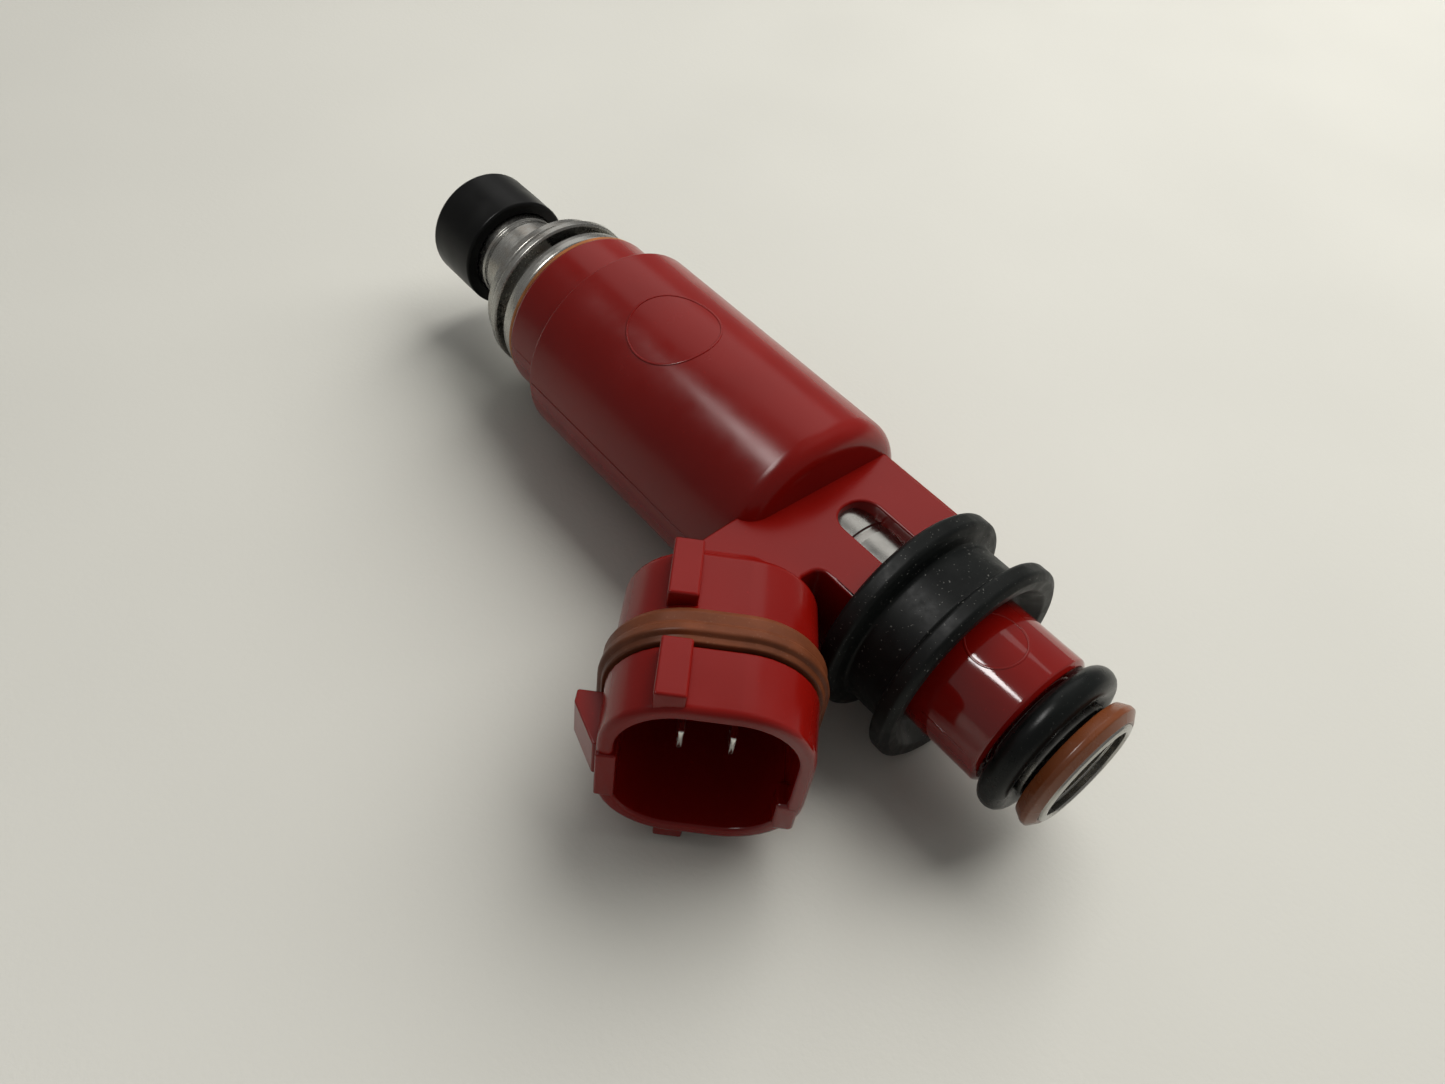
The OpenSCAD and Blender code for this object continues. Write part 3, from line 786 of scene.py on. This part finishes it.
class INJECTOR_OT_mould_marks(bpy.types.Operator):
    """Parting lines along the barrel and the two round gate marks"""

    bl_idname = "injector.mould_marks"
    bl_label = "Mould marks"

    def execute(self, context):
        s = context.scene.injector_body
        r, collar, inlet = s.barrel_radius / MM, s.collar_radius / MM, s.inlet_radius / MM
        lines = [self.ridge(x0, x1, radius, angle)
                 for x0, x1, radius in ((20.2, 24.9, collar), (25.7, 53.3, r), (74.3, 79.0, inlet))
                 for angle in (0.0, math.pi)]
        make("parting_lines", [(g, False) for g in lines], "housing_plastic",
             ["overmould_housing"])
        barrel_mark, inlet_mark = (36.0, 4.3), (75.1, 2.45)
        marks = [self.ring(barrel_mark[0], math.radians(101), r, barrel_mark[1]),
                 self.ring(inlet_mark[0], math.radians(100), inlet, inlet_mark[1])]
        make("gate_marks", [(g, True) for g in marks], "housing_plastic", ["overmould_housing"])
        return {"FINISHED"}

    def ridge(self, x0, x1, radius, angle):
        """Thin half-round ridge along the axis at one angle, lens-shaped in section."""
        half, height = 0.10, 0.035
        t = np.linspace(0, 2 * math.pi, 12, endpoint=False)
        x = np.array([x0, x0, x0 + 0.3, x1 - 0.3, x1, x1])
        k = np.array([0.0, 0.3, 1.0, 1.0, 0.3, 0.0])[:, None]
        rr = radius + k * height * np.cos(t)
        aa = angle + k * half * np.sin(t) / radius
        return np.stack([x[:, None] + 0 * t, rr * np.cos(aa), rr * np.sin(aa)], -1)

    def ring(self, x, angle, radius, size):
        """Thin raised ring that lies on a cylinder: a small ellipse carried round a circle."""
        t = np.linspace(0, 2 * math.pi, 120, endpoint=False)
        a = np.linspace(0, 2 * math.pi, 10, endpoint=False)[:, None]
        reach = size + 0.11 * np.cos(a) + 0 * t
        rr = radius + 0.035 * np.sin(a) + 0 * t
        turn = angle + reach * np.cos(t) / radius
        return np.stack([x + reach * np.sin(t), rr * np.cos(turn), rr * np.sin(turn)], -1)


class INJECTOR_OT_connector_seal(bpy.types.Operator):
    """Brown silicone band round the socket, with two raised lips"""

    bl_idname = "injector.connector_seal"
    bl_label = "Plug seal"

    def execute(self, context):
        s = context.scene.injector_socket
        low, high = 26.0, 29.05
        profile = rounded([
            (low, 0.9, 0.05), (low, -0.30, 0.25), (low + 0.5, -0.58, 0.4),
            (low + 1.35, -0.50, 0.2), (low + 1.6, -0.66, 0.15), (high - 0.75, -0.78, 0.3),
            (high - 0.5, -0.40, 0.12), (high, -0.32, 0.15), (high, 0.9, 0.05)], steps=5,
            lead=0.02)
        loops = rect_loop(s.half_width / MM, s.half_height / MM, s.corner / MM, profile[:, 1],
                          arc=16)
        along = np.broadcast_to(profile[:, :1], loops.shape[:2])
        grid = socket_place(np.concatenate([along[..., None], loops], -1))
        make("connector_seal_band", [(grid, True)], "brown_silicone", ["connector_seal"])
        return {"FINISHED"}


class INJECTOR_OT_terminals(bpy.types.Operator):
    """Two tinned blades with coined tips"""

    bl_idname = "injector.terminals"
    bl_label = "Terminals"

    def execute(self, context):
        for name, hand in (("terminal_left", -1), ("terminal_right", 1)):
            half_t, half_w, root, tip, half_pitch = 0.32, 1.2, 17.0, 31.5, 1.95
            middle = hand * half_pitch
            profile = np.array([
                [root, 0.05], [root + 0.05, 0.0], [tip - 1.3, 0.0], [tip - 1.1, 0.02],
                [tip - 0.2, 0.06], [tip - 0.08, 0.09], [tip, 0.16]])
            grid = swept(profile, half_t, half_w, 0.17)
            grid = socket_place(grid + [0, middle, 0])
            make(name + "_blade", [(grid, False)], "tinned_metal", [name])
        return {"FINISHED"}


class INJECTOR_OT_rail_cushion(bpy.types.Operator):
    """Black rubber cushion: two round-edged flanges, a hollow waist and a dished end face"""

    bl_idname = "injector.rail_cushion"
    bl_label = "Rail cushion"

    def execute(self, context):
        x0, x1, r = span("rail_cushion")
        bore = 6.38
        waist = r - 1.75
        dish = x1 - 1.6
        profile = rounded([
            (x0, bore, 0.1), (x0, r - 0.6, 0.4), (x0 + 0.4, r, 0.45), (x0 + 1.75, r, 0.5),
            (x0 + 2.1, r - 0.7, 0.4), (x0 + 2.3, waist, 0.35), (x1 - 2.2, waist, 0.35),
            (x1 - 2.0, r - 0.7, 0.4), (x1 - 1.7, r, 0.45), (x1 - 0.4, r, 0.45), (x1, r - 0.6, 0.3),
            (x1 - 0.1, 8.3, 0.4), (dish, 6.95, 0.4), (dish, bore, 0.1)], steps=8)
        make("cushion_rubber_body", [(turned(profile), True)], "cushion_rubber", ["rail_cushion"])
        return {"FINISHED"}


class INJECTOR_OT_rail_o_ring(bpy.types.Operator):
    """Rail O-ring with a faint mould line"""

    bl_idname = "injector.rail_o_ring"
    bl_label = "Rail O-ring"

    def execute(self, context):
        x0, x1, r = span("rail_o_ring")
        section = (x1 - x0) / 2
        shift = -0.3
        a = np.linspace(0, 2 * math.pi, 60, endpoint=False)
        ridge = 0.02 * np.exp(-((a - math.radians(52)) / 0.06) ** 2)
        rr = section - 0.02 + ridge
        middle = (x0 + x1) / 2 + shift
        profile = np.stack([middle + rr * np.cos(a), r - section + rr * np.sin(a)], -1)
        make("o_ring_rubber", [(turned(profile), True)], "ring_rubber", ["rail_o_ring"])
        return {"FINISHED"}


class INJECTOR_OT_retainer_ring(bpy.types.Operator):
    """Brown nylon ring that keeps the O-ring on the tube"""

    bl_idname = "injector.retainer_ring"
    bl_label = "Retainer ring"

    def execute(self, context):
        x0, x1, r = span("retainer_ring")
        bore = 4.95
        profile = rounded([
            (x0, bore, 0.05), (x0, 5.65, 0.12), (x0 + 0.85, r, 0.3), (x0 + 1.25, r - 0.02, 0.2),
            (x1, 5.25, 0.15), (x1 - 0.2, bore, 0.05)], lead=0.02)
        make("retainer_nylon", [(turned(profile), True)], "retainer_plastic", ["retainer_ring"])
        return {"FINISHED"}


class INJECTOR_OT_inlet_tube(bpy.types.Operator):
    """Bright steel inlet tube with a weld bead, an O-ring seat and a rolled lip"""

    bl_idname = "injector.inlet_tube"
    bl_label = "Inlet tube"

    def execute(self, context):
        x0, x1, r = span("inlet_tube")
        body, seat, lip = 4.4, 4.6, 85.6
        spigot_bore, bore, filter_bore, mouth_bore, rim_bore = 3.45, 3.5, 3.6, 4.0, 4.3
        spigot_end, filter_start, filter_end, rim = 56, 79, 83.4, x1 - 0.7
        profile = rounded([
            (x0, spigot_bore, 0.05), (x0, body, 0.1), (60.15, body, 0.04),
            (60.25, body - 0.16, 0.05), (60.4, body - 0.16, 0.05), (61.1, body - 0.02, 0.5),
            (80.25, body, 0.1), (80.5, seat, 0.1), (83.4, seat, 0.3), (83.75, 4.9, 0.2),
            (lip - 0.3, 4.9, 0.1), (lip - 0.1, r, 0.1), (lip + 0.1, r - 0.08, 0.12),
            (x1, 4.62, 0.15), (x1, 4.42, 0.1),
            (x1 - 0.15, rim_bore, 0.1), (rim, rim_bore, 0.05), (rim, mouth_bore, 0.06),
            (filter_end, mouth_bore, 0.05), (filter_end, filter_bore, 0.05),
            (filter_start, filter_bore, 0.05), (filter_start, bore, 0.05),
            (spigot_end, bore, 0.02), (spigot_end, spigot_bore, 0.02)], steps=5, lead=0.02)
        make("inlet_tube_steel", [(turned(profile), True)], "tube_steel", ["inlet_tube"])
        return {"FINISHED"}


class INJECTOR_OT_return_spring(bpy.types.Operator):
    """Coil spring with closed ends behind the armature"""

    bl_idname = "injector.return_spring"
    bl_label = "Return spring"

    def execute(self, context):
        x0, x1, r = span("return_spring")
        wire, turns = 0.28, 9
        t = np.linspace(0, 1, 40 * turns)
        rise = np.clip((t - 0.04) / 0.92, 0, 1)
        angle = 2 * math.pi * (turns + 1) * t
        x = x0 + wire + (x1 - x0 - 2 * wire) * (0.06 * t + 0.94 * rise)
        mid = r - wire
        a = np.linspace(0, 2 * math.pi, 14, endpoint=False)[None]
        rr = mid + wire * np.cos(a) + 0 * angle[:, None]
        grid = np.stack([x[:, None] + wire * np.sin(a), rr * np.cos(angle[:, None]),
                         rr * np.sin(angle[:, None])], -1)
        ends = [np.repeat(grid[i].mean(0)[None, None], a.shape[1], 1) for i in (0, -1)]
        grid = np.concatenate([ends[0], grid, ends[1]], 0)
        make("return_spring_coil", [(grid, False)], "spring_steel", ["return_spring"])
        return {"FINISHED"}


# ---------------------------------------------------------------- stage

class INJECTOR_OT_stage(bpy.types.Operator):
    """Pale floor, soft lights and the camera"""

    bl_idname = "injector.stage"
    bl_label = "Stage"

    def execute(self, context):
        s = context.scene.injector_stage
        self.floor(s)
        self.lights()
        data = bpy.data.cameras.new("camera")
        data.sensor_width = 36
        data.lens = s.camera_lens
        data.clip_start = 0.005
        camera = bpy.data.objects.new("camera", data)
        context.scene.collection.objects.link(camera)
        view = Vector(s.camera_target) - Vector(s.camera_place)
        turn = view.to_track_quat("-Z", "Y").to_matrix().to_4x4()
        roll = Matrix.Rotation(s.camera_roll, 4, "Z")
        camera.matrix_world = Matrix.Translation(Vector(s.camera_place)) @ turn @ roll
        context.scene.camera = camera
        return {"FINISHED"}

    def floor(self, s):
        """Flat square under the lowest point of the model, with a fine grain."""
        size = 0.9
        z = CAD_BOX[0][2]
        corners = [(-size, -size, z), (size, -size, z), (size, size, z), (-size, size, z)]
        mesh = bpy.data.meshes.new("floor")
        mesh.from_pydata(corners, [], [(0, 1, 2, 3)])
        made, tree, shader = start_finish("floor", Roughness=0.5, Specular_IOR_Level=0.3)
        colour = tuple(s.floor_colour)
        drift = ranged(tree, noise(tree, 60, detail=2.0), 0.3, 0.7, 0, 1)
        tree.links.new(mixed(tree, drift, scaled(colour, 0.97), scaled(colour, 1.03)),
                       shader.inputs["Base Color"])
        tree.links.new(bumped(tree, noise(tree, 0.5, detail=3.0), 0.02), shader.inputs["Normal"])
        mesh.materials.append(made)
        floor = bpy.data.objects.new("floor", mesh)
        bpy.context.scene.collection.objects.link(floor)

    def lights(self):
        """One large soft light without a mirror image, one panel for the streaks, a weak fill."""
        aim = Vector((0.045, -0.005, 0))
        both, glow, streak = (True, True), (True, False), (False, True)
        plan = [("soft_light", (0.04, 0.30, 0.40), (0.50, 0.50), 3.5, (1.0, 0.985, 0.955), glow),
                ("panel_light", (-0.15, -0.20, 0.51), (0.24, 0.14), 1.9, (1.0, 0.99, 0.97), streak),
                ("back_light", (-0.30, 0.30, 0.42), (0.50, 0.40), 0.5, (1.0, 0.985, 0.96), both)]
        for name, place, size, power, colour, (diffuse, mirrored) in plan:
            data = bpy.data.lights.new(name, "AREA")
            data.shape = "RECTANGLE"
            data.size, data.size_y = size
            data.energy = power
            data.color = colour
            lamp = bpy.data.objects.new(name, data)
            lamp.visible_diffuse = diffuse
            lamp.visible_glossy = mirrored
            bpy.context.scene.collection.objects.link(lamp)
            turn = (aim - Vector(place)).to_track_quat("-Z", "Y").to_matrix().to_4x4()
            lamp.matrix_world = Matrix.Translation(Vector(place)) @ turn
        world = bpy.data.worlds.new("studio")
        world.use_nodes = True
        world.node_tree.nodes["Background"].inputs["Color"].default_value = (0.80, 0.79, 0.77, 1)
        world.node_tree.nodes["Background"].inputs["Strength"].default_value = 0.32
        bpy.context.scene.world = world
        bpy.context.scene.view_settings.view_transform = "Standard"


# ---------------------------------------------------------------- add-on

GROUPS = {
    "injector_body": InjectorBody,
    "injector_socket": InjectorSocket,
    "injector_finish": InjectorFinish,
    "injector_stage": InjectorStage,
}
OPERATORS = (
    INJECTOR_OT_cad_finishes, INJECTOR_OT_nozzle_cap, INJECTOR_OT_nozzle_body, INJECTOR_OT_yoke,
    INJECTOR_OT_collar_seal, INJECTOR_OT_barrel, INJECTOR_OT_bridge, INJECTOR_OT_socket,
    INJECTOR_OT_socket_keys, INJECTOR_OT_mould_marks, INJECTOR_OT_connector_seal,
    INJECTOR_OT_terminals, INJECTOR_OT_rail_cushion, INJECTOR_OT_rail_o_ring,
    INJECTOR_OT_retainer_ring, INJECTOR_OT_inlet_tube, INJECTOR_OT_return_spring,
    INJECTOR_OT_stage,
)


class INJECTOR_PT_panel(bpy.types.Panel):
    """Lists the injector's pieces"""

    bl_idname = "INJECTOR_PT_panel"
    bl_label = "Fuel injector"
    bl_space_type = "VIEW_3D"
    bl_region_type = "UI"
    bl_category = "Injector"

    def draw(self, context):
        for operator in OPERATORS:
            self.layout.operator(operator.bl_idname)


def register():
    for name, group in GROUPS.items():
        bpy.utils.register_class(group)
        setattr(bpy.types.Scene, name, PointerProperty(type=group))
    for operator in OPERATORS:
        bpy.utils.register_class(operator)
    bpy.utils.register_class(INJECTOR_PT_panel)


def unregister():
    bpy.utils.unregister_class(INJECTOR_PT_panel)
    for operator in reversed(OPERATORS):
        bpy.utils.unregister_class(operator)
    for name, group in GROUPS.items():
        delattr(bpy.types.Scene, name)
        bpy.utils.unregister_class(group)


def main():
    register()
    for operator in OPERATORS:
        group, call = operator.bl_idname.split(".")
        getattr(getattr(bpy.ops, group), call)()


if __name__ == "__main__":
    main()
